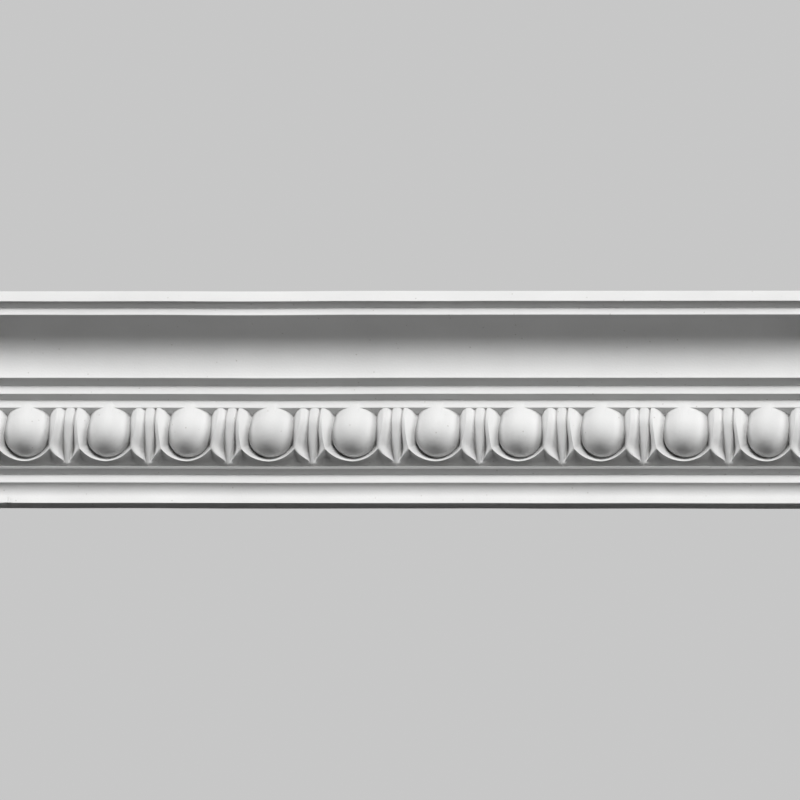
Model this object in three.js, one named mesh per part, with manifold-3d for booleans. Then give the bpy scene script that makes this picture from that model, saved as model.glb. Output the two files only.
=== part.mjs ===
// Egg-and-dart cornice, one cast plaster length for the corner between a wall and a ceiling.
// Millimetres. X runs along the length, +Y goes into the wall, +Z is up.
// The origin is the middle of the strip that beds on the wall.

import * as THREE from 'three';
import { mergeVertices } from 'three/addons/utils/BufferGeometryUtils.js';
import Module from 'manifold-3d';

// The length is a whole number of eggs, cut square through the middle of a dart at each end.
const pitch = 54.5;
const eggCount = 10;

// Section from the ceiling down to the wall. A drop is upright and a step is level, towards the wall.
// The cove turns through coveTurn degrees from upright, then runs on straight as a soffit.
const lipDrop = 8.8;
const lipStep = 6.9;
const coveFilletDrop = 5.7;
const coveRadius = 21;
const coveTurn = 82;
const coveSoffit = 18.2;
const coveStep = 8.0;
const middleFilletDrop = 6.9;
const middleStep = 6.3;
const eggFilletDrop = 6.4;
const bandDrop = 30.9;
const bandStep = 22.1;
const quirkFaceDrop = 1.0;
const quirkFaceStep = 1.8;
const quirkStep = 5.9;
const hollowFilletDrop = 6.7;
const hollowRadius = 6.7;
const footDrop = 5.0;
const footStep = 5.9;

// Ground behind the carving: how far it lies in from the fillet edge at its top, where it turns, and the depth
// of the ledge behind the quirk.
const groundStep = 17;
const groundTurnStep = 26.6;
const groundTurnDrop = 22;
const ledgeStep = 4.5;

// Strips at the back that bed on the wall and on the ceiling.
const wallStrip = 36;
const ceilingStrip = 32;

// Direction that the carved band faces, in degrees below level, and the width that its shares are taken of.
const carvingTilt = 40;
const carvingWidth = 37.2;

// Egg: a turned form with an upright axis. It hangs straight from the soffit above it, then rounds in.
const eggRadius = 15.2;
const eggProud = 0.3;
const eggNeck = 4.5;
const eggBelow = 20.4;
const eggFullness = 2.35;
const eggSides = 22;
const eggRings = 8;

// A place on the carving is three shares: across, from the middle of an egg to the middle of a dart; down the
// width of the band; and out from its flat, as a share of that width. Each line has six places, top to bottom.
const troughLine = [[0.50, 0.199, -0.237], [0.53, 0.222, -0.296], [0.53, 0.35, -0.269],
  [0.527, 0.472, -0.234], [0.515, 0.559, -0.202], [0.50, 0.629, -0.175]];
const flangeRidge = [[0.703, 0.009, -0.01], [0.732, 0.222, 0.143], [0.718, 0.35, 0.188],
  [0.695, 0.49, 0.204], [0.662, 0.612, 0.204], [0.627, 0.712, 0.194]];
const shoulderLine = [[0.80, 0.005, -0.006], [0.815, 0.222, 0.124], [0.81, 0.367, 0.156],
  [0.79, 0.524, 0.156], [0.755, 0.664, 0.151], [0.72, 0.772, 0.172]];
const grooveLine = [[0.873, 0.047, -0.06], [0.873, 0.222, 0.042], [0.87, 0.385, 0.056],
  [0.858, 0.559, 0.034], [0.85, 0.70, 0.026], [0.85, 0.854, 0.134]];
const dartEdge = [[0.905, 0.016, -0.012], [0.905, 0.222, 0.098], [0.907, 0.393, 0.122],
  [0.917, 0.577, 0.128], [0.93, 0.752, 0.115], [0.95, 0.917, 0.115]];
const dartRidge = [[1, 0, 0], [1, 0.222, 0.105], [1, 0.397, 0.132], [1, 0.586, 0.14],
  [1, 0.769, 0.129], [1, 0.949, 0.105]];

// Below the end of the flange the husk turns under the egg. Each line runs from the flange to under the egg.
const huskTroughLine = [[0.50, 0.629, -0.175], [0.42, 0.752, -0.161], [0.24, 0.865, -0.108], [0, 0.865, -0.091]];
const rimLine = [[0.627, 0.712, 0.194], [0.50, 0.80, 0.183], [0.33, 0.91, 0.145], [0, 0.91, 0.135]];
const rimFootLine = [[0.627, 0.855, 0.05], [0.55, 0.90, 0.048], [0.33, 0.998, 0.045], [0, 0.998, 0.045]];
const dartFoot = [1, 1.015, 0.045];
const huskHeart = [0, 0.437, -0.323];

// How far the inner face of the flange swells out half way up.
const flangeSwell = 0.05;

// Shares of the way from the flange to the dart at which the foot of the carving is cut.
const footShares = [0, 0.25, 0.6, 0.85, 1];

// How finely the carving is cut.
const flangeSteps = 8;
const rimSteps = 6;

// Depth that joined forms run into each other, and the distance within which places count as one.
const overlap = 3;
const weldDistance = 0.001;

const length = pitch * eggCount;
const halfPitch = pitch / 2;
const tilt = THREE.MathUtils.degToRad(carvingTilt);
const coveAngle = THREE.MathUtils.degToRad(coveTurn);
const coveDrop = coveRadius * Math.sin(coveAngle) + coveSoffit * Math.cos(coveAngle);
const coveReach = coveRadius * (1 - Math.cos(coveAngle)) + coveSoffit * Math.sin(coveAngle);
const footToBand = footDrop + hollowRadius + hollowFilletDrop + quirkFaceDrop;
const wallToBand = footStep + hollowRadius + quirkStep + quirkFaceStep;
const bandToCeiling = eggFilletDrop + middleFilletDrop + coveDrop + coveFilletDrop + lipDrop;
const bandToLip = middleStep + coveStep + coveReach + lipStep;
const wholeDrop = footToBand + bandDrop + bandToCeiling;
const projection = wallToBand + bandStep + bandToLip;
const bandTopZ = footToBand + bandDrop - wallStrip / 2;
const bandFaceY = -(wallToBand + bandStep);

// Directions of the carved band: out of its face, and down its face.
const facing = new THREE.Vector3(0, -Math.cos(tilt), -Math.sin(tilt));
const downFace = new THREE.Vector3(0, Math.sin(tilt), -Math.cos(tilt));

const wasm = await Module();
wasm.setup();

function toSolid(geometry) {
  const bare = new THREE.BufferGeometry();
  bare.setAttribute('position', geometry.getAttribute('position').clone());
  if (geometry.index) {
    bare.setIndex(geometry.index.clone());
  }
  const merged = mergeVertices(bare, weldDistance);
  const vertProperties = new Float32Array(merged.getAttribute('position').array);
  const triVerts = new Uint32Array(merged.index.array);
  return new wasm.Manifold(new wasm.Mesh({ numProp: 3, vertProperties, triVerts }));
}

function toGeometry(solid) {
  const mesh = solid.getMesh();
  const geometry = new THREE.BufferGeometry();
  geometry.setAttribute('position', new THREE.BufferAttribute(new Float32Array(mesh.vertProperties), 3));
  geometry.setIndex(new THREE.BufferAttribute(new Uint32Array(mesh.triVerts), 1));
  return geometry;
}

// Section outline: x is the distance out from the wall, y is the height over the underside of the foot.
function sectionShape() {
  const shape = new THREE.Shape();
  let out = 0;
  let up = 0;
  const outBy = (step) => shape.lineTo(out += step, up);
  const upBy = (drop) => shape.lineTo(out, up += drop);
  // a hollow arc, upright at its foot
  const hollowBy = (radius, angle) => {
    shape.absarc(out + radius, up, radius, Math.PI, Math.PI - angle, true);
    out += radius * (1 - Math.cos(angle));
    up += radius * Math.sin(angle);
  };
  shape.moveTo(out, up);
  outBy(footStep);
  upBy(footDrop);
  hollowBy(hollowRadius, Math.PI / 2);
  upBy(hollowFilletDrop);
  outBy(quirkStep);
  shape.lineTo(out += quirkFaceStep, up += quirkFaceDrop);
  shape.lineTo(out - ledgeStep, up);
  out += bandStep;
  up += bandDrop;
  shape.lineTo(out - groundTurnStep, up - groundTurnDrop);
  shape.lineTo(out - groundStep, up);
  shape.lineTo(out, up);
  upBy(eggFilletDrop);
  outBy(middleStep);
  upBy(middleFilletDrop);
  outBy(coveStep);
  hollowBy(coveRadius, coveAngle);
  shape.lineTo(out += coveSoffit * Math.sin(coveAngle), up += coveSoffit * Math.cos(coveAngle));
  upBy(coveFilletDrop);
  outBy(lipStep);
  upBy(lipDrop);
  outBy(-ceilingStrip);
  shape.lineTo(0, wallStrip);
  shape.closePath();
  return shape;
}

// Turns a section outline into a run along X, centred on the origin.
function runOf(shape, runLength) {
  const geometry = new THREE.ExtrudeGeometry(shape, { depth: runLength, bevelEnabled: false, curveSegments: 14 });
  const outwards = new THREE.Vector3(0, -1, 0);
  const upwards = new THREE.Vector3(0, 0, 1);
  const backwards = new THREE.Vector3(-1, 0, 0);
  geometry.applyMatrix4(new THREE.Matrix4().makeBasis(outwards, upwards, backwards));
  geometry.translate(runLength / 2, 0, -wallStrip / 2);
  return geometry;
}

function eggGeometry() {
  const profile = [new THREE.Vector2(0, -eggBelow)];
  const power = 2 / eggFullness;
  for (let i = 1; i <= eggRings; i += 1) {
    const angle = Math.PI / 2 * (1 - i / eggRings);
    profile.push(new THREE.Vector2(eggRadius * Math.cos(angle) ** power, -eggBelow * Math.sin(angle) ** power));
  }
  const top = eggNeck + overlap;
  profile.push(new THREE.Vector2(eggRadius, top));
  profile.push(new THREE.Vector2(0, top));
  const geometry = new THREE.LatheGeometry(profile, eggSides);
  geometry.rotateX(Math.PI / 2);
  geometry.translate(0, bandFaceY - eggProud + eggRadius, bandTopZ - eggNeck);
  return geometry;
}

// A place on the carved band from its shares, on one side of an egg.
function onBand(side, [across, down, out]) {
  const point = new THREE.Vector3(side * across * halfPitch, bandFaceY, bandTopZ);
  return point.addScaledVector(downFace, down * carvingWidth).addScaledVector(facing, out * carvingWidth);
}

// Shares at evenly spread places on a line of the carving.
function sharesOn(curve, steps) {
  return curve.getPoints(steps).map((place) => place.toArray());
}

const toVectors = (line) => line.map((place) => new THREE.Vector3(...place));

const between = (a, b, part) => a.map((value, i) => value + (b[i] - value) * part);

const halfUp = (low, high) => between(low, high, 0.5).map((value, i) => (i === 2 ? value + flangeSwell : value));

// The shares down a line from the soffit, with a first place carried straight up into the solid above.
function fromSoffit(line) {
  const shares = sharesOn(new THREE.CatmullRomCurve3(toVectors(line)), flangeSteps);
  const [across, down, out] = shares[0];
  const rise = overlap / carvingWidth;
  return [[across, down - rise * Math.cos(tilt), out - rise * Math.sin(tilt)], ...shares];
}

function underEgg(line) {
  return sharesOn(new THREE.CubicBezierCurve3(...toVectors(line)), rimSteps);
}

// Rows of places for one side of an egg. Each patch is a list of rows that run outwards from the egg.
function carvingPatches() {
  const trough = fromSoffit(troughLine);
  const ridge = fromSoffit(flangeRidge);
  const shoulder = fromSoffit(shoulderLine);
  const groove = fromSoffit(grooveLine);
  const edge = fromSoffit(dartEdge);
  const dart = fromSoffit(dartRidge);
  const huskTrough = underEgg(huskTroughLine);
  const rim = underEgg(rimLine);
  const rimFoot = underEgg(rimFootLine);
  const bedEnd = new THREE.Vector3(0, bandStep + ledgeStep + overlap / 2, overlap / 2 - bandDrop);
  const bedPlace = [bedEnd.dot(downFace) / carvingWidth, bedEnd.dot(facing) / carvingWidth];

  const flange = ridge.map((place, i) => {
    const middle = [0, Math.min(trough[i][1], huskHeart[1]), huskHeart[2]];
    return [middle, trough[i], halfUp(trough[i], place), place];
  });
  const husk = rim.map((place, i) => [huskHeart, huskTrough[i], halfUp(huskTrough[i], place), place]);
  const dartSide = ridge.map((place, i) => [place, shoulder[i], groove[i], edge[i], dart[i]]);
  const bed = rimFoot.map((place, i) => {
    const end = i === 0 ? dartFoot : [1 - i / rimSteps, ...bedPlace];
    return footShares.map((share) => between(place, end, share));
  });
  const zigzagWall = [dartSide[dartSide.length - 1], bed[0]];
  const rimWall = rim.map((place, i) => [place, rimFoot[i]]);
  return [[...flange, ...husk.slice(1)], dartSide, zigzagWall, rimWall, bed];
}

// Closes the carved surface into a solid: the same faces laid flat behind it, and walls round its edge.
function carvingGeometry() {
  const backPoint = new THREE.Vector3(0, bandFaceY + eggRadius + overlap, bandTopZ);
  const backLevel = facing.dot(backPoint);
  const front = [];
  for (let egg = 0; egg < eggCount; egg += 1) {
    const middleX = (egg + 0.5 - eggCount / 2) * pitch;
    for (const side of [-1, 1]) {
      for (const rows of carvingPatches()) {
        front.push(...patchTriangles(rows, side, middleX));
      }
    }
  }
  const bare = new THREE.BufferGeometry().setFromPoints(front.flat());
  const merged = mergeVertices(bare, weldDistance);
  const position = merged.getAttribute('position');
  const index = Array.from(merged.index.array);
  const points = [];
  for (let i = 0; i < position.count; i += 1) {
    points.push(new THREE.Vector3().fromBufferAttribute(position, i));
  }
  const flat = points.map((point) => point.clone().addScaledVector(facing, backLevel - facing.dot(point)));
  const count = points.length;
  const faces = [];
  const edges = new Map();
  for (let i = 0; i < index.length; i += 3) {
    const [a, b, c] = index.slice(i, i + 3);
    if (a === b || b === c || c === a) {
      continue;
    }
    faces.push(a, b, c, c + count, b + count, a + count);
    for (const [from, to] of [[a, b], [b, c], [c, a]]) {
      edges.set(`${from} ${to}`, [from, to]);
    }
  }
  for (const [from, to] of edges.values()) {
    if (!edges.has(`${to} ${from}`)) {
      faces.push(to, from, from + count, to, from + count, to + count);
    }
  }
  const solid = new THREE.BufferGeometry().setFromPoints([...points, ...flat]);
  solid.setIndex(faces);
  return solid;
}

function patchTriangles(rows, side, middleX) {
  const at = (place) => {
    const point = onBand(side, place);
    point.x += middleX;
    return point;
  };
  const triangles = [];
  for (let i = 0; i + 1 < rows.length; i += 1) {
    for (let j = 0; j + 1 < rows[i].length; j += 1) {
      const [a, b] = [at(rows[i][j]), at(rows[i][j + 1])];
      const [c, d] = [at(rows[i + 1][j + 1]), at(rows[i + 1][j])];
      if (side > 0) {
        triangles.push([a, d, c], [a, c, b]);
      } else {
        triangles.push([a, c, d], [a, b, c]);
      }
    }
  }
  return triangles;
}

// Outline of all that may stand in front of the sloping back, from the underside of the foot to the ceiling.
function reachShape() {
  const shape = new THREE.Shape();
  shape.moveTo(0, 0);
  shape.lineTo(projection, 0);
  shape.lineTo(projection, wholeDrop);
  shape.lineTo(projection - ceilingStrip, wholeDrop);
  shape.lineTo(0, wallStrip);
  shape.closePath();
  return shape;
}

function corniceGeometry() {
  let solid = toSolid(runOf(sectionShape(), length + 2 * overlap));
  solid = solid.add(toSolid(carvingGeometry()));
  for (let egg = 0; egg < eggCount; egg += 1) {
    const geometry = eggGeometry();
    geometry.translate((egg + 0.5 - eggCount / 2) * pitch, 0, 0);
    solid = solid.add(toSolid(geometry));
  }
  return toGeometry(solid.intersect(toSolid(runOf(reachShape(), length))));
}

const plaster = new THREE.MeshStandardMaterial({ color: 0xe9e8e5, roughness: 0.85, metalness: 0 });

const cornice = new THREE.Mesh(corniceGeometry(), plaster);
cornice.name = 'cornice';

const model = new THREE.Group();
model.add(cornice);

export default model;
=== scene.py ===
import math
import bpy
import bmesh
from mathutils import Matrix, Vector, noise


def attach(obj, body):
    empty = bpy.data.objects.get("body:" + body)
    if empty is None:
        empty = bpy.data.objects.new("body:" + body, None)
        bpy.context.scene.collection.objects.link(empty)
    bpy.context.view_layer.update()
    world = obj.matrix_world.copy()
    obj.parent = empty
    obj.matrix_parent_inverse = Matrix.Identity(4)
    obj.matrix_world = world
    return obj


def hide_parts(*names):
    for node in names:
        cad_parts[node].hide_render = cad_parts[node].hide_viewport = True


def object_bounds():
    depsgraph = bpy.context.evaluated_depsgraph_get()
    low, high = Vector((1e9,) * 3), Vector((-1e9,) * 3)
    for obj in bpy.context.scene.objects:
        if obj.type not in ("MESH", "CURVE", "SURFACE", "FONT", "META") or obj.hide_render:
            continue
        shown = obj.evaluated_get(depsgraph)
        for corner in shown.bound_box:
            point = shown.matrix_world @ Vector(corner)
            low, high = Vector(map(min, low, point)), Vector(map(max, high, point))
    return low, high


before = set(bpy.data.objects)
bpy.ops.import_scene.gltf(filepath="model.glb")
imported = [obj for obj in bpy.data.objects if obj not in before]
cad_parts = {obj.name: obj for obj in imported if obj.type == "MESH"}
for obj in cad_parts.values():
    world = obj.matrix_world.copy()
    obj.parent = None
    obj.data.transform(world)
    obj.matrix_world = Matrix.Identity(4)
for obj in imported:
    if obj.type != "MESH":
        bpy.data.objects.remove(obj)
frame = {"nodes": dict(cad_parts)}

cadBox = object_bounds()
mm = 0.001
weld = 0.004 * mm      # points nearer than this become one
print("frame loaded:", ", ".join(frame["nodes"]))

# Section of the cornice, in millimetres from the ceiling down. A drop is upright, a step is level.
cornice = {
    "pitch": 54.5, "eggs": 10,
    "lipDrop": 8.8, "lipStep": 6.9,
    "coveFilletDrop": 5.7, "coveRadius": 21.0, "coveTurn": 82, "coveSoffit": 18.2, "coveStep": 8.0,
    "middleFilletDrop": 6.9, "middleStep": 6.3,
    "eggFilletDrop": 6.4,
    "bandDrop": 30.9, "bandStep": 22.1,
    "quirkFaceDrop": 1.0, "quirkFaceStep": 1.8, "quirkStep": 5.9,
    "hollowFilletDrop": 6.7, "hollowRadius": 6.7,
    "footDrop": 5.0, "footStep": 5.9,
    "groundStep": 17, "groundTurnStep": 30.6, "groundTurnDrop": 22, "ledgeStep": 8.0,
    "wallStrip": 36, "ceilingStrip": 32,
    "arris": 0.5,          # radius worn on every outer corner
    "innerCorner": 0.35,   # radius left in every inner corner
    "cornerShare": 0.42,   # the most of a neighbouring side that a corner may take
    "gentleTurn": 28,      # degrees, below which a turn is left as it is
    "cornerSteps": 3, "hollowSteps": 10, "coveSteps": 26, "backSteps": 18,
    "ringStep": 5.0,       # length of one stretch of the run
    "overrun": 3.0,        # beyond each end, cut off square later
    "sharpAngle": 38,      # degrees, above which an edge is shaded sharp
    "backMargin": 1.2,     # how far the rough back stays from the ceiling strip
}
length = cornice["pitch"] * cornice["eggs"]
halfPitch = cornice["pitch"] / 2
coveAngle = math.radians(cornice["coveTurn"])
coveDrop = cornice["coveRadius"] * math.sin(coveAngle) + cornice["coveSoffit"] * math.cos(coveAngle)
coveReach = cornice["coveRadius"] * (1 - math.cos(coveAngle)) + cornice["coveSoffit"] * math.sin(coveAngle)
footToBand = (cornice["footDrop"] + cornice["hollowRadius"] + cornice["hollowFilletDrop"]
              + cornice["quirkFaceDrop"])
wallToBand = (cornice["footStep"] + cornice["hollowRadius"] + cornice["quirkStep"]
              + cornice["quirkFaceStep"])
wholeDrop = (footToBand + cornice["bandDrop"] + cornice["eggFilletDrop"] + cornice["middleFilletDrop"]
             + coveDrop + cornice["coveFilletDrop"] + cornice["lipDrop"])
projection = (wallToBand + cornice["bandStep"] + cornice["middleStep"] + cornice["coveStep"]
              + coveReach + cornice["lipStep"])
bandTopZ = footToBand + cornice["bandDrop"] - cornice["wallStrip"] / 2
bandFaceY = -(wallToBand + cornice["bandStep"])

# Small damage: a dent in the lower front edge of the foot near the left end, and single air holes.
wear = {
    "chipAt": -257.0, "chipReach": 4.0, "chipDepth": 1.0, "chipGrain": 0.9,
    "chipRings": 6, "chipRingStep": 0.9,        # more rings of points, each side of the dent
    "airHoles": [(245.0, bandFaceY - 0.6, bandTopZ + cornice["eggFilletDrop"]),
                 (29.0, bandFaceY + 2.6, bandTopZ - 19.0), (-137.0, bandFaceY + 1.5, bandTopZ - 16.0)],
    "holeSize": 0.75,
}


def linkObject(name, mesh):
    piece = bpy.data.objects.new(name, mesh)
    bpy.context.scene.collection.objects.link(piece)
    return piece


def evaluatedMesh(piece, name):
    # the plain mesh that the modifiers make, with the working object taken away
    graph = bpy.context.evaluated_depsgraph_get()
    mesh = bpy.data.meshes.new_from_object(piece.evaluated_get(graph))
    mesh.name = name
    piece.modifiers.clear()
    bpy.data.objects.remove(piece)
    return mesh


def sectionOutline(plan):
    points = []
    spot = [0.0, 0.0]

    def go(out, up):
        spot[0] += out
        spot[1] += up
        points.append(tuple(spot))

    def hollow(radius, turn, steps):
        startOut, startUp = spot
        for i in range(1, steps + 1):
            angle = turn * i / steps
            points.append((startOut + radius - radius * math.cos(angle), startUp + radius * math.sin(angle)))
        spot[:] = points[-1]

    go(0, 0)                        # the wall, at the foot
    go(plan["footStep"], 0)
    go(0, plan["footDrop"])
    hollow(plan["hollowRadius"], math.pi / 2, plan["hollowSteps"])
    go(0, plan["hollowFilletDrop"])
    go(plan["quirkStep"], 0)
    go(plan["quirkFaceStep"], plan["quirkFaceDrop"])
    go(-plan["ledgeStep"], 0)
    go(plan["bandStep"] - plan["groundTurnStep"] + plan["ledgeStep"],
       plan["bandDrop"] - plan["groundTurnDrop"])
    go(plan["groundTurnStep"] - plan["groundStep"], plan["groundTurnDrop"])
    go(plan["groundStep"], 0)
    go(0, plan["eggFilletDrop"])
    go(plan["middleStep"], 0)
    go(0, plan["middleFilletDrop"])
    go(plan["coveStep"], 0)
    hollow(plan["coveRadius"], coveAngle, plan["coveSteps"])
    go(plan["coveSoffit"] * math.sin(coveAngle), plan["coveSoffit"] * math.cos(coveAngle))
    go(0, plan["coveFilletDrop"])
    go(plan["lipStep"], 0)
    go(0, plan["lipDrop"])
    go(-plan["ceilingStrip"], 0)
    # the sloping back, in short stretches so that it can be roughened
    backTop = tuple(spot)
    for i in range(1, plan["backSteps"] + 1):
        share = i / plan["backSteps"]
        points.append((backTop[0] * (1 - share), backTop[1] + (plan["wallStrip"] - backTop[1]) * share))
    return points


def roundCorners(points, plan):
    # each sharp turn becomes a short arc, and gentle turns stay
    rounded = []
    count = len(points)
    for i, point in enumerate(points):
        here = Vector(point)
        before = Vector(points[i - 1]) - here
        after = Vector(points[(i + 1) % count]) - here
        turn = math.pi - before.angle(after)
        if turn < math.radians(plan["gentleTurn"]):
            rounded.append(here)
            continue
        hand = before.x * after.y - before.y * after.x
        radius = plan["arris"] if hand < 0 else plan["innerCorner"]
        most = plan["cornerShare"] * min(before.length, after.length)
        reach = min(radius * math.tan(turn / 2), most)
        start = here + before.normalized() * reach
        end = here + after.normalized() * reach
        for j in range(plan["cornerSteps"] + 1):
            t = j / plan["cornerSteps"]
            rounded.append(start * (1 - t) ** 2 + here * 2 * t * (1 - t) + end * t * t)
    return rounded


def extrudeOutline(points, name, stations):
    # points are distance out from the wall and height over the foot
    bm = bmesh.new()
    rings = []
    for x in stations:
        rings.append([bm.verts.new((x * mm, -out * mm, (up - cornice["wallStrip"] / 2) * mm))
                      for out, up in points])
    for left, right in zip(rings, rings[1:]):
        for i in range(len(points)):
            j = (i + 1) % len(points)
            bm.faces.new((left[i], right[i], right[j], left[j]))
    bm.faces.new(rings[0])
    bm.faces.new(reversed(rings[-1]))
    bmesh.ops.recalc_face_normals(bm, faces=bm.faces)
    mesh = bpy.data.meshes.new(name)
    bm.to_mesh(mesh)
    bm.free()
    return mesh


outline = roundCorners(sectionOutline(cornice), cornice)
runHalf = length / 2 + cornice["overrun"]
ringCount = round(2 * runHalf / cornice["ringStep"])
stations = [-runHalf + 2 * runHalf * i / ringCount for i in range(ringCount + 1)]
stations = sorted(stations + [wear["chipAt"] + step * wear["chipRingStep"]
                              for step in range(-wear["chipRings"], wear["chipRings"] + 1)])
runBody = linkObject("runBody", extrudeOutline(outline, "runBody", stations))
reachPoints = [(0, 0), (projection, 0), (projection, wholeDrop),
               (projection - cornice["ceilingStrip"], wholeDrop), (0, cornice["wallStrip"])]
reachBody = linkObject("reachBody", extrudeOutline(reachPoints, "reachBody", (-length / 2, length / 2)))
print("run made:", len(outline), "points round,", len(stations), "rings")


# The carved band. A place is three shares: across from the middle of an egg to the middle of a dart,
# down the width of the band, and out from its flat.
carving = {
    "tilt": 40, "width": 37.2,
    "trough": [(0.50, 0.199, -0.13), (0.50, 0.222, -0.13), (0.50, 0.35, -0.09),
               (0.50, 0.472, -0.09), (0.50, 0.559, -0.12), (0.50, 0.629, -0.15)],
    "flange": [(0.703, 0.009, -0.01), (0.732, 0.222, 0.143), (0.718, 0.35, 0.188),
               (0.695, 0.49, 0.204), (0.662, 0.612, 0.204), (0.627, 0.712, 0.194)],
    "shoulder": [(0.80, 0.005, -0.006), (0.815, 0.222, 0.124), (0.81, 0.367, 0.156),
                 (0.79, 0.524, 0.15), (0.77, 0.68, 0.12), (0.755, 0.815, 0.165)],
    "groove": [(0.873, 0.047, -0.06), (0.873, 0.222, 0.042), (0.87, 0.385, 0.056),
               (0.864, 0.559, 0.015), (0.883, 0.76, -0.05), (0.935, 0.94, 0.06)],
    "dartEdge": [(0.905, 0.016, -0.012), (0.905, 0.222, 0.098), (0.907, 0.393, 0.122),
                 (0.922, 0.577, 0.128), (0.95, 0.775, 0.112), (0.978, 0.965, 0.095)],
    "dart": [(1, 0, 0), (1, 0.222, 0.105), (1, 0.397, 0.132), (1, 0.586, 0.14),
             (1, 0.779, 0.127), (1, 0.985, 0.09)],
    "huskTrough": [(0.50, 0.629, -0.15), (0.42, 0.757, -0.161), (0.24, 0.885, -0.10), (0, 0.895, -0.085)],
    "rim": [(0.627, 0.712, 0.194), (0.50, 0.815, 0.172), (0.33, 0.92, 0.11), (0, 0.935, 0.085)],
    "rimFoot": [(0.627, 0.865, 0.03), (0.55, 0.92, 0.02), (0.33, 1.0, 0.01), (0, 1.0, 0.01)],
    "dartFoot": (1, 1.015, 0.045),
    "huskHeart": (0, 0.437, -0.323),
    "flangeSwell": 0.05,            # how far the inner face of the flange swells out half way up
    "footShares": (0, 0.25, 0.6, 0.85, 1),
    "flangeSteps": 40, "rimSteps": 18,
    "acrossFlange": (2, 4, 4),      # cells from the middle of the egg to the trough, then up the flange
    "acrossDart": (3, 4, 3, 4),     # cells from the flange to the dart
    "wallRows": 3,
    "softening": 1,                 # rounds of smoothing, which wear the arrises
    "rise": 3,                      # how far the carving runs up into the moulding above
    "bedInside": 1.5, "bedRise": 3.9,   # where the bed ends, behind and above the ledge
    "behindEgg": 3,                 # its flat back, from the back of the eggs
}
tilt = math.radians(carving["tilt"])
bandWidth = carving["width"]
facing = Vector((0, -math.cos(tilt), -math.sin(tilt)))
downFace = Vector((0, math.sin(tilt), -math.cos(tilt)))


def throughPlaces(places, steps):
    # a smooth curve through the places, at even steps between them
    points = [Vector(place) for place in places]
    points = [2 * points[0] - points[1]] + points + [2 * points[-1] - points[-2]]
    spans = len(places) - 1
    made = []
    for step in range(steps + 1):
        spot = step / steps * spans
        i = min(int(spot), spans - 1)
        t = spot - i
        a, b, c, d = points[i:i + 4]
        ab, bc, cd = [max((q - p).length, 1e-6) ** 0.5 for p, q in ((a, b), (b, c), (c, d))]
        leave = ((b - a) / ab - (c - a) / (ab + bc) + (c - b) / bc) * bc
        arrive = ((c - b) / bc - (d - b) / (bc + cd) + (d - c) / cd) * bc
        made.append(b + leave * t + (3 * (c - b) - 2 * leave - arrive) * t * t
                    + (2 * (b - c) + leave + arrive) * t ** 3)
    return made


def fromSoffit(places, steps):
    # the first place is carried straight up into the moulding above
    made = throughPlaces(places, steps)
    rise = carving["rise"] / bandWidth
    first = made[0] + Vector((0, -rise * math.cos(tilt), -rise * math.sin(tilt)))
    return [first] + made


def underEgg(places, steps):
    a, b, c, d = [Vector(place) for place in places]
    made = []
    for step in range(steps + 1):
        t = step / steps
        made.append(a * (1 - t) ** 3 + b * 3 * t * (1 - t) ** 2 + c * 3 * t * t * (1 - t) + d * t ** 3)
    return made


def spread(row, cells):
    # splits each stretch of a row into the given number of cells
    made = [row[0]]
    for start, end, count in zip(row, row[1:], cells):
        made += [start.lerp(end, i / count) for i in range(1, count + 1)]
    return made


def halfUp(low, high, swell):
    return low.lerp(high, 0.5) + Vector((0, 0, swell))


def carvingPatches(plan):
    steps = plan["flangeSteps"]
    trough, ridge, shoulder, groove, edge, dart = [
        fromSoffit(plan[line], steps)
        for line in ("trough", "flange", "shoulder", "groove", "dartEdge", "dart")]
    huskTrough, rim, rimFoot = [underEgg(plan[line], plan["rimSteps"])
                                for line in ("huskTrough", "rim", "rimFoot")]
    heart = Vector(plan["huskHeart"])
    bedEnd = Vector((0, cornice["bandStep"] + cornice["ledgeStep"] + plan["bedInside"],
                     plan["bedRise"] - cornice["bandDrop"]))
    endDown, endOut = bedEnd.dot(downFace) / bandWidth, bedEnd.dot(facing) / bandWidth

    swell = plan["flangeSwell"]
    flange = [spread([Vector((0, min(low.y, heart.y), heart.z)), low, halfUp(low, high, swell), high],
                     plan["acrossFlange"]) for low, high in zip(trough, ridge)]
    husk = [spread([heart, low, halfUp(low, high, swell), high], plan["acrossFlange"])
            for low, high in zip(huskTrough, rim)]
    dartSide = [spread(list(row), plan["acrossDart"]) for row in zip(ridge, shoulder, groove, edge, dart)]
    bed = []
    for i, place in enumerate(rimFoot):
        end = Vector(plan["dartFoot"]) if i == 0 else Vector((1 - i / plan["rimSteps"], endDown, endOut))
        bed.append(spread([place.lerp(end, share) for share in plan["footShares"]], plan["acrossDart"]))
    wall = [[a.lerp(b, i / plan["wallRows"]) for a, b in zip(dartSide[-1], bed[0])]
            for i in range(plan["wallRows"] + 1)]
    rimWall = [[a.lerp(b, i / plan["wallRows"]) for i in range(plan["wallRows"] + 1)]
               for a, b in zip(rim, rimFoot)]
    return [flange + husk[1:], dartSide, wall, rimWall, bed]


def onBand(side, place):
    return (Vector((side * place.x * halfPitch, bandFaceY, bandTopZ)) + downFace * (place.y * bandWidth)
            + facing * (place.z * bandWidth)) * mm


def carvingUnit(plan):
    bm = bmesh.new()
    for side in (-1, 1):
        for rows in carvingPatches(plan):
            grid = [[bm.verts.new(onBand(side, place)) for place in row] for row in rows]
            for upper, lower in zip(grid, grid[1:]):
                for j in range(len(upper) - 1):
                    corners = (upper[j], lower[j], lower[j + 1], upper[j + 1])
                    bm.faces.new(corners if side > 0 else corners[::-1])
    bmesh.ops.remove_doubles(bm, verts=bm.verts, dist=weld)
    mesh = bpy.data.meshes.new("carvingUnit")
    bm.to_mesh(mesh)
    bm.free()
    return mesh


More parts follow.
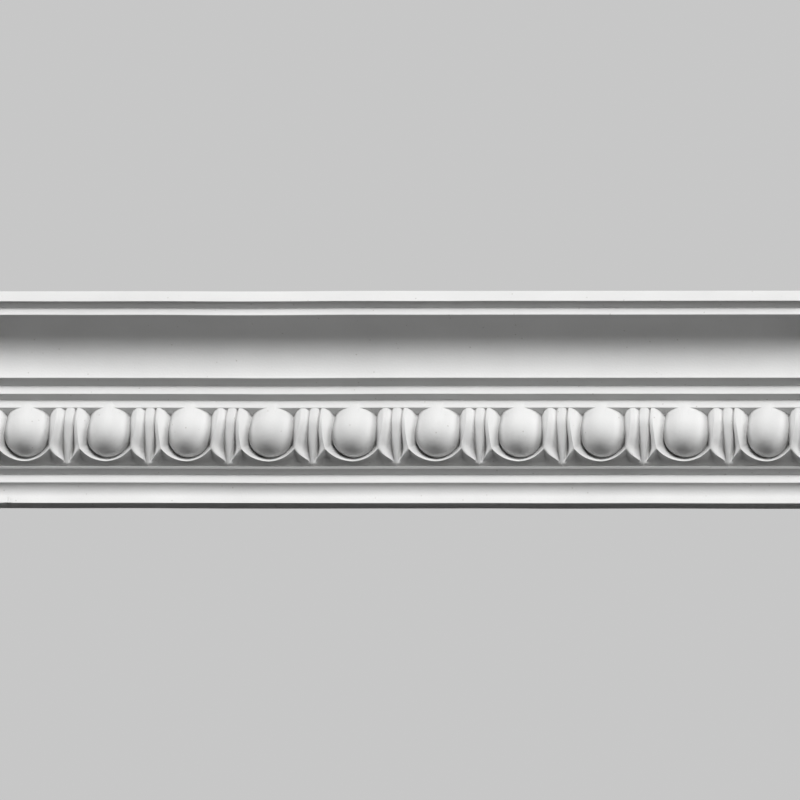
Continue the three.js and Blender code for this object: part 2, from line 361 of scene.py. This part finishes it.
egg = {
    "radius": 15.4, "proud": 0.3, "neck": 7.2, "below": 17.7, "fullness": 2.2,
    "sides": 64, "rings": 26, "rise": 3.0,
    "sizeSpread": 0.008, "seed": 7,     # how much the eggs differ from each other
}


def eggUnit(plan):
    # a turned form with an upright axis, closed at its top inside the moulding above
    profile = []
    power = 2 / plan["fullness"]
    for i in range(1, plan["rings"] + 1):
        angle = math.pi / 2 * (1 - i / plan["rings"])
        profile.append((plan["radius"] * math.cos(angle) ** power, -plan["below"] * math.sin(angle) ** power))
    profile.append((plan["radius"], plan["neck"] + plan["rise"]))
    centreY = bandFaceY - plan["proud"] + plan["radius"]
    centreZ = bandTopZ - plan["neck"]
    bm = bmesh.new()
    foot = bm.verts.new((0, centreY * mm, (centreZ - plan["below"]) * mm))
    rings = []
    for radius, z in profile:
        ring = []
        for i in range(plan["sides"]):
            angle = 2 * math.pi * i / plan["sides"]
            ring.append(bm.verts.new((radius * math.cos(angle) * mm,
                                      (centreY + radius * math.sin(angle)) * mm, (centreZ + z) * mm)))
        rings.append(ring)
    for i in range(plan["sides"]):
        j = (i + 1) % plan["sides"]
        bm.faces.new((foot, rings[0][i], rings[0][j]))
        for lower, upper in zip(rings, rings[1:]):
            bm.faces.new((lower[i], lower[j], upper[j], upper[i]))
    bm.faces.new(rings[-1])
    bmesh.ops.recalc_face_normals(bm, faces=bm.faces)
    mesh = bpy.data.meshes.new("eggUnit")
    bm.to_mesh(mesh)
    bm.free()
    return mesh


def repeatTree():
    # puts copies of a unit along the length, one pitch apart
    tree = bpy.data.node_groups.new("repeatAlongLength", "GeometryNodeTree")
    sockets = tree.interface
    sockets.new_socket("Geometry", in_out="INPUT", socket_type="NodeSocketGeometry")
    for name, kind, value in (("Repeats", "Int", 12), ("Pitch", "Float", 0.0545),
                              ("Size Spread", "Float", 0.0), ("Seed", "Int", 1),
                              ("Material", "Material", None)):
        socket = sockets.new_socket(name, in_out="INPUT", socket_type="NodeSocket" + kind)
        if value is not None:
            socket.default_value = value
    sockets.new_socket("Geometry", in_out="OUTPUT", socket_type="NodeSocketGeometry")
    add, link = tree.nodes.new, tree.links.new
    given, result = add("NodeGroupInput"), add("NodeGroupOutput")

    def sums(operation, first, second):
        node = add("ShaderNodeMath")
        node.operation = operation
        for socket, value in zip(node.inputs, (first, second)):
            if isinstance(value, (int, float)):
                socket.default_value = value
            else:
                link(value, socket)
        return node.outputs[0]

    halfRun = sums("MULTIPLY", sums("SUBTRACT", given.outputs["Repeats"], 1), given.outputs["Pitch"])
    start, offset = add("ShaderNodeCombineXYZ"), add("ShaderNodeCombineXYZ")
    link(sums("MULTIPLY", halfRun, -0.5), start.inputs["X"])
    link(given.outputs["Pitch"], offset.inputs["X"])
    line = add("GeometryNodeMeshLine")
    link(given.outputs["Repeats"], line.inputs["Count"])
    link(start.outputs[0], line.inputs["Start Location"])
    link(offset.outputs[0], line.inputs["Offset"])
    size = add("FunctionNodeRandomValue")
    size.data_type = "FLOAT"
    floats = [socket for socket in size.inputs if socket.type == "VALUE" and socket.enabled]
    link(sums("SUBTRACT", 1, given.outputs["Size Spread"]), floats[0])
    floats[1].default_value = 1.0
    link(given.outputs["Seed"], size.inputs["Seed"])
    scale = add("ShaderNodeCombineXYZ")
    link([s for s in size.outputs if s.type == "VALUE" and s.enabled][0], scale.inputs["X"])
    scale.inputs["Y"].default_value = 1.0
    scale.inputs["Z"].default_value = 1.0
    place = add("GeometryNodeInstanceOnPoints")
    link(line.outputs["Mesh"], place.inputs["Points"])
    link(given.outputs["Geometry"], place.inputs["Instance"])
    link(scale.outputs[0], place.inputs["Scale"])
    realize, finish = add("GeometryNodeRealizeInstances"), add("GeometryNodeSetMaterial")
    link(place.outputs["Instances"], realize.inputs["Geometry"])
    link(realize.outputs["Geometry"], finish.inputs["Geometry"])
    link(given.outputs["Material"], finish.inputs["Material"])
    link(finish.outputs["Geometry"], result.inputs["Geometry"])
    return tree


def repeated(mesh, tree, name, values):
    piece = linkObject(name, mesh)
    modifier = piece.modifiers.new("repeat", "NODES")
    modifier.node_group = tree
    for item in tree.interface.items_tree:
        if item.item_type == "SOCKET" and item.in_out == "INPUT" and item.name in values:
            modifier[item.identifier] = values[item.name]
    return evaluatedMesh(piece, name)


def grainGroup():
    # the grain that the cast face and the rough back share
    group = bpy.data.node_groups.new("plasterGrain", "ShaderNodeTree")
    for name, value in (("Mottle Scale", 14.0), ("Grain Scale", 900.0), ("Pit Scale", 170.0)):
        socket = group.interface.new_socket(name, in_out="INPUT", socket_type="NodeSocketFloat")
        socket.default_value = value
    for name in ("Mottle", "Grain", "Pits"):
        group.interface.new_socket(name, in_out="OUTPUT", socket_type="NodeSocketFloat")
    add, link = group.nodes.new, group.links.new
    given, result = add("NodeGroupInput"), add("NodeGroupOutput")
    place = add("ShaderNodeTexCoord")
    for name, detail, roughness, target in (("Mottle Scale", 5.0, 0.55, "Mottle"),
                                            ("Grain Scale", 6.0, 0.6, "Grain")):
        cloud = add("ShaderNodeTexNoise")
        cloud.inputs["Detail"].default_value = detail
        cloud.inputs["Roughness"].default_value = roughness
        link(place.outputs["Object"], cloud.inputs["Vector"])
        link(given.outputs[name], cloud.inputs["Scale"])
        link(cloud.outputs[0], result.inputs[target])
    cells = add("ShaderNodeTexVoronoi")
    link(place.outputs["Object"], cells.inputs["Vector"])
    link(given.outputs["Pit Scale"], cells.inputs["Scale"])
    shallow = add("ShaderNodeMapRange")
    shallow.inputs["From Min"].default_value = 0.02
    shallow.inputs["From Max"].default_value = 0.085
    link(cells.outputs["Distance"], shallow.inputs["Value"])
    link(shallow.outputs[0], result.inputs["Pits"])
    return group


def plasterMaterial(name, grain, values):
    material = bpy.data.materials.new(name)
    material.use_nodes = True
    tree = material.node_tree
    add, link = tree.nodes.new, tree.links.new
    shader = tree.nodes["Principled BSDF"]
    shader.inputs["Specular IOR Level"].default_value = values["shine"]
    body = add("ShaderNodeGroup")
    body.node_tree = grain
    for socket in ("Mottle Scale", "Grain Scale", "Pit Scale"):
        body.inputs[socket].default_value = values[socket]
    tone = add("ShaderNodeValToRGB")
    tone.color_ramp.elements[0].position = 0.3
    tone.color_ramp.elements[1].position = 0.72
    tone.color_ramp.elements[0].color = values["dark"]
    tone.color_ramp.elements[1].color = values["light"]
    link(body.outputs["Mottle"], tone.inputs["Fac"])
    # painted shade: the pits, and the air holes added below, take a darker colour for the shade inside them,
    # besides their bump
    pits = body.outputs["Pits"]
    if values.get("airHoles"):
        where = add("ShaderNodeTexCoord")
    for hole in values.get("airHoles", ()):
        away, edge, least = add("ShaderNodeVectorMath"), add("ShaderNodeMapRange"), add("ShaderNodeMath")
        away.operation = "DISTANCE"
        away.inputs[1].default_value = Vector(hole) * mm
        link(where.outputs["Object"], away.inputs[0])
        edge.inputs["From Min"].default_value = wear["holeSize"] * 0.5 * mm
        edge.inputs["From Max"].default_value = wear["holeSize"] * mm
        link(away.outputs["Value"], edge.inputs["Value"])
        least.operation = "MINIMUM"
        link(pits, least.inputs[0])
        link(edge.outputs[0], least.inputs[1])
        pits = least.outputs[0]
    # painted shade: mixes the darker pit colour into the pits and air holes, standing for the shade that
    # falls in them
    pitShadeMix = add("ShaderNodeMix")
    pitShadeMix.data_type = "RGBA"
    pitShadeMix.inputs["A"].default_value = values["pitShade"]
    link(pits, pitShadeMix.inputs["Factor"])
    link(tone.outputs["Color"], pitShadeMix.inputs["B"])
    link(pitShadeMix.outputs["Result"], shader.inputs["Base Color"])
    rough = add("ShaderNodeMapRange")
    rough.inputs["To Min"].default_value = values["smooth"]
    rough.inputs["To Max"].default_value = values["rough"]
    link(body.outputs["Grain"], rough.inputs["Value"])
    link(rough.outputs[0], shader.inputs["Roughness"])
    height = add("ShaderNodeMath")
    height.operation = "MULTIPLY_ADD"
    height.inputs[1].default_value = values["pitDepth"]
    link(pits, height.inputs[0])
    link(body.outputs["Grain"], height.inputs[2])
    bump = add("ShaderNodeBump")
    bump.inputs["Strength"].default_value = values["bump"]
    bump.inputs["Distance"].default_value = values["depth"]
    top = height.outputs[0]
    if values.get("scrim"):
        # the print of woven cloth that was laid in the back
        where = add("ShaderNodeTexCoord")
        weave = None
        for direction in ("X", "Z"):
            wave = add("ShaderNodeTexWave")
            wave.bands_direction = direction
            wave.inputs["Scale"].default_value = values["scrim"]
            wave.inputs["Distortion"].default_value = 1.5
            wave.inputs["Detail"].default_value = 2.0
            link(where.outputs["Object"], wave.inputs["Vector"])
            if weave is None:
                weave = wave.outputs["Fac"]
            else:
                both = add("ShaderNodeMath")
                both.operation = "MAXIMUM"
                link(weave, both.inputs[0])
                link(wave.outputs["Fac"], both.inputs[1])
                weave = both.outputs[0]
        added = add("ShaderNodeMath")
        added.operation = "ADD"
        link(top, added.inputs[0])
        link(weave, added.inputs[1])
        top = added.outputs[0]
    link(top, bump.inputs["Height"])
    link(bump.outputs["Normal"], shader.inputs["Normal"])
    return material


castFinish = {
    "Mottle Scale": 16.0, "Grain Scale": 700.0, "Pit Scale": 120.0,
    # the pit colour is painted shade, given to the pits and air holes
    "dark": (0.745, 0.745, 0.74, 1), "light": (0.80, 0.80, 0.795, 1), "pitShade": (0.6, 0.59, 0.57, 1),
    "smooth": 0.74, "rough": 0.9, "shine": 0.25, "pitDepth": 0.5, "bump": 0.25, "depth": 0.0004,
    "airHoles": wear["airHoles"],
}
backFinish = {
    "Mottle Scale": 22.0, "Grain Scale": 260.0, "Pit Scale": 90.0,
    # the pit colour is painted shade, given to the pits of the back
    "dark": (0.66, 0.65, 0.62, 1), "light": (0.8, 0.79, 0.765, 1), "pitShade": (0.42, 0.4, 0.37, 1),
    "smooth": 0.82, "rough": 0.96, "shine": 0.25, "pitDepth": 0.8, "bump": 0.6, "depth": 0.0012,
    "scrim": 75.0,             # scale of the woven print
}
grain = grainGroup()
castFace = plasterMaterial("castPlaster", grain, castFinish)
roughBack = plasterMaterial("roughPlasterBack", grain, backFinish)
print("plaster mixed:", castFace.name, "and", roughBack.name)

tree = repeatTree()
repeats = {"Repeats": cornice["eggs"] + 2, "Pitch": cornice["pitch"] * mm, "Material": castFace}
carvingMesh = repeated(carvingUnit(carving), tree, "carvingRun", repeats)
eggMesh = repeated(eggUnit(egg), tree, "eggRun", dict(repeats, **{"Size Spread": egg["sizeSpread"],
                                                                 "Seed": egg["seed"]}))
print("repeated:", len(carvingMesh.polygons), "carving faces,", len(eggMesh.polygons), "egg faces")


def closeCarving(mesh, softening):
    # softens the arrises, then gives the surface a flat back inside the moulding
    bm = bmesh.new()
    bm.from_mesh(mesh)
    bmesh.ops.remove_doubles(bm, verts=bm.verts, dist=weld)
    inner = [vert for vert in bm.verts if not vert.is_boundary]
    for _ in range(softening):
        bmesh.ops.smooth_vert(bm, verts=inner, factor=0.5, use_axis_x=True, use_axis_y=True, use_axis_z=True)
    backLevel = facing.dot(Vector((0, bandFaceY + egg["radius"] + carving["behindEgg"], bandTopZ))) * mm
    grown = bmesh.ops.extrude_face_region(bm, geom=bm.faces[:], use_keep_orig=True)
    for vert in grown["geom"]:
        if isinstance(vert, bmesh.types.BMVert):
            vert.co += facing * (backLevel - facing.dot(vert.co))
    bmesh.ops.recalc_face_normals(bm, faces=bm.faces)
    bm.to_mesh(mesh)
    bm.free()


closeCarving(carvingMesh, carving["softening"])
carvingBody = linkObject("carvingBody", carvingMesh)
eggBody = linkObject("eggBody", eggMesh)

for cutter, operation in ((carvingBody, "UNION"), (eggBody, "UNION"), (reachBody, "INTERSECT")):
    join = runBody.modifiers.new(cutter.name, "BOOLEAN")
    join.object = cutter
    join.operation = operation
    join.solver = "MANIFOLD"
corniceMesh = evaluatedMesh(runBody, "corniceLength")
for helper in (carvingBody, eggBody, reachBody):
    bpy.data.objects.remove(helper)
print("joined:", len(corniceMesh.vertices), "points,", len(corniceMesh.polygons), "faces")


# How the hand that set the pattern wandered: millimetres along the length at each dart from left to right,
# at the top, middle and bottom of the band.
handPlacing = {
    "top": [0, 1.2, -0.3, -0.3, -0.1, 0, 0.6, -0.1, -0.1, 0.5, 0],
    "middle": [0, 0.4, 0.0, -1.4, -0.7, 0.1, 0.9, 0.8, 0.8, 1.7, 0],
    "bottom": [0, -0.8, -1.2, -2.4, -1.2, 0, 0.3, 0.4, -0.2, 1.4, 0],
    "dartDrift": 1.3,                   # every dart stands a little to the right between its flanges
    "driftFrom": 0.72, "driftFull": 0.95,   # shares of the way from an egg to a dart
    "calmEnd": 14, "calmStart": 26,     # the ends stay true: millimetres from each end
    "sag": 0.35, "sagAt": -85, "sagReach": 45,
    "wave": 0.16, "waveLength": 70, "waveAcross": 23,
}


def easeIn(value, start, end):
    t = max(0.0, min(1.0, (value - start) / (end - start)))
    return t * t * (3 - 2 * t)


def drift(values, x):
    # a smooth curve through the shifts, which are one pitch apart
    spot = max(0.0, min(len(values) - 1.001, x / cornice["pitch"] + (len(values) - 1) / 2))
    i = int(spot)
    t = spot - i
    t = t * t * (3 - 2 * t)
    return values[i] * (1 - t) + values[i + 1] * t


def handFinish(mesh, plan):
    # the wander of the pattern, the slight waves of the run and the dent, all kept inside the CAD box
    lowest, highest = cadBox
    for vert in mesh.vertices:
        x, y, z = vert.co / mm
        down = Vector((0, y - bandFaceY, z - bandTopZ)).dot(downFace) / bandWidth
        level = max(0.0, min(1.0, down))
        top, middle, bottom = [drift(plan[row], x) for row in ("top", "middle", "bottom")]
        shift = top + (middle - top) * min(1, level * 2) + (bottom - middle) * max(0, level * 2 - 1)
        across = abs((x / cornice["pitch"]) % 1 - 0.5) * 2
        ends = 1 - easeIn(abs(x), length / 2 - plan["calmStart"], length / 2 - plan["calmEnd"])
        shift = (shift + plan["dartDrift"] * easeIn(across, plan["driftFrom"], plan["driftFull"])) * ends
        sag = plan["sag"] * math.exp(-((x - plan["sagAt"]) / plan["sagReach"]) ** 2)
        along, out, up = x / plan["waveLength"], y / plan["waveAcross"], z / plan["waveAcross"]
        wave = noise.noise(Vector((along, out, up))) * plan["wave"]
        slope = noise.noise(Vector((along + 9, out, up))) * plan["wave"]     # another part of the same noise
        chip = Vector((x - wear["chipAt"], y + cornice["footStep"], z + cornice["wallStrip"] / 2))
        bite = max(0.0, 1 - chip.length / wear["chipReach"]) * wear["chipDepth"]
        bite *= 1 + noise.noise(Vector((x, y, z)) * wear["chipGrain"])
        vert.co = Vector((x + shift, y + slope + bite, z - sag + wave + bite)) * mm
        for axis in range(3):
            vert.co[axis] = max(lowest[axis], min(highest[axis], vert.co[axis]))
    mesh.update()


handFinish(corniceMesh, handPlacing)

corniceMesh.materials.clear()
corniceMesh.materials.append(castFace)
corniceMesh.materials.append(roughBack)
backNormal = Vector((0, wholeDrop - cornice["wallStrip"], projection - cornice["ceilingStrip"])).normalized()
backEdgeY = -(projection - cornice["ceilingStrip"] - cornice["backMargin"]) * mm
for face in corniceMesh.polygons:
    face.use_smooth = True
    face.material_index = 1 if face.normal.dot(backNormal) > 0.9 and face.center.y > backEdgeY else 0
corniceMesh.set_sharp_from_angle(angle=math.radians(cornice["sharpAngle"]))
corniceLength = linkObject("corniceLength", corniceMesh)
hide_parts("cornice")
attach(corniceLength, "root")
triangles = sum(len(face.vertices) - 2 for face in corniceMesh.polygons)
print("cornice finished:", triangles, "triangles")


# Room, lights and camera.
studio = {
    "pale": 0.50,             # the backdrop, as the camera sees it
    "floorDrop": 12.0, "floorReach": 9.0, "floorTone": (0.6, 0.6, 0.6, 1),
    "ambient": 0.01,
    # azimuth, elevation, width in degrees, strength
    "lights": ((20, 5, 24, 0.53), (-62, 7, 30, 0.41), (58, 9, 30, 0.36), (0, 30, 30, 0.04),
               (150, 4, 24, 0.30), (-140, 4, 24, 0.22)),
}
view = {
    "lens": 1200.0, "sensor": 36, "farClip": 200,
    "framed": 0.520,                   # metres across the frame
    "below": 40.0, "aside": 11.0,      # degrees, seen from under and from the right
    "shiftAcross": 6.4, "shiftUp": -0.25, "pixel": 0.00065,
}


def pointAt(azimuth, elevation):
    a, e = math.radians(azimuth), math.radians(elevation)
    return Vector((math.sin(a) * math.cos(e), -math.cos(a) * math.cos(e), math.sin(e)))


for i, (azimuth, elevation, width, strength) in enumerate(studio["lights"]):
    lamp = bpy.data.lights.new(f"softLight{i + 1}", "SUN")
    lamp.angle = math.radians(width)
    lamp.energy = math.pi * strength
    holder = bpy.data.objects.new(lamp.name, lamp)
    holder.rotation_euler = pointAt(azimuth, elevation).to_track_quat("Z", "Y").to_euler()
    bpy.context.scene.collection.objects.link(holder)

world = bpy.data.worlds.new("paleRoom")
world.use_nodes = True
bpy.context.scene.world = world
worldNodes, worldLink = world.node_tree.nodes, world.node_tree.links.new
seen, mix = worldNodes.new("ShaderNodeLightPath"), worldNodes.new("ShaderNodeMix")
mix.inputs["A"].default_value = studio["ambient"]
mix.inputs["B"].default_value = studio["pale"]
worldLink(seen.outputs["Is Camera Ray"], mix.inputs["Factor"])
worldLink(mix.outputs["Result"], worldNodes["Background"].inputs["Strength"])
worldNodes["Background"].inputs["Color"].default_value = (1, 1, 1, 1)

floorMesh = bpy.data.meshes.new("paleFloor")
reach, drop = studio["floorReach"], -studio["floorDrop"]
floorCorners = [(-reach, -reach, drop), (reach, -reach, drop), (reach, reach, drop), (-reach, reach, drop)]
floorMesh.from_pydata(floorCorners, [], [(0, 1, 2, 3)])
floor = linkObject("paleFloor", floorMesh)
floorPaint = bpy.data.materials.new("palePaint")
floorPaint.use_nodes = True
paint = floorPaint.node_tree.nodes["Principled BSDF"]
paint.inputs["Base Color"].default_value = studio["floorTone"]
paint.inputs["Roughness"].default_value = 0.95
floorMesh.materials.append(floorPaint)
print("room lit by", len(studio["lights"]), "soft lights")

below, aside = math.radians(view["below"]), math.radians(view["aside"])
square = Vector((0, -math.cos(below), -math.sin(below)))
back = square * math.cos(aside) + Vector((1, 0, 0)) * math.sin(aside)
upward = Vector((0, -math.sin(below), math.cos(below)))
right = upward.cross(back)
lens = bpy.data.cameras.new("camera")
lens.lens = view["lens"]
lens.sensor_width = view["sensor"]
lens.clip_end = view["farClip"]
camera = bpy.data.objects.new("camera", lens)
bpy.context.scene.collection.objects.link(camera)
middle = Vector((0, -projection * mm / 2, (wholeDrop / 2 - cornice["wallStrip"] / 2) * mm))
target = middle + (right * view["shiftAcross"] + upward * view["shiftUp"]) * view["pixel"]
distance = view["lens"] / view["sensor"] * view["framed"]
turned = Matrix((right, upward, back)).transposed().to_4x4()
camera.matrix_world = Matrix.Translation(target + back * distance) @ turned
bpy.context.scene.camera = camera
bpy.context.scene.view_settings.view_transform = "Standard"
bpy.context.scene.view_settings.look = "Medium High Contrast"

print("scene ready")
